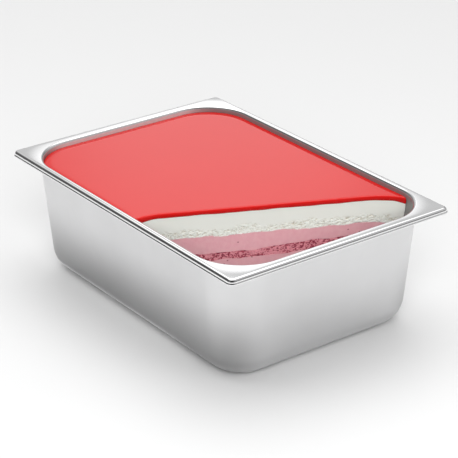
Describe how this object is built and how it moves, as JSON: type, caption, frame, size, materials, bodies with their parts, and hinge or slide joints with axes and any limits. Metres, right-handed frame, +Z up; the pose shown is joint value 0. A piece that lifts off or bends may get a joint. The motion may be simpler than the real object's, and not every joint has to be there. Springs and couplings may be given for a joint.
{
  "type": "red-glazed layered dessert in steel pan",
  "caption": "Rectangular stainless-steel food pan filled with a layered cream and mousse dessert under a glossy red glaze, cut away at one corner to show its layers.",
  "frame": {"origin": "on the surface that the pan stands on, under the middle of its rim", "axes": "+X along the long sides, +Y along the short sides, +Z up; the served corner is the one at +X, -Y"},
  "size_m": [0.36, 0.25, 0.12],
  "materials": {
    "steel": "satin to bright stainless steel",
    "red_glaze": "mirror-glossy fruit glaze",
    "white_cream": "smooth cream, ragged towards its foot",
    "pink_mousse": "smooth satin mousse",
    "red_crumb": "moist crumb, dark red specks in pink"
  },
  "bodies": {
    "root": {"pan": "steel", "glaze": "red_glaze", "white_cream": "white_cream", "pink_mousse": "pink_mousse", "red_crumb": "red_crumb", "pink_base": "pink_mousse"}
  },
  "joints": []
}
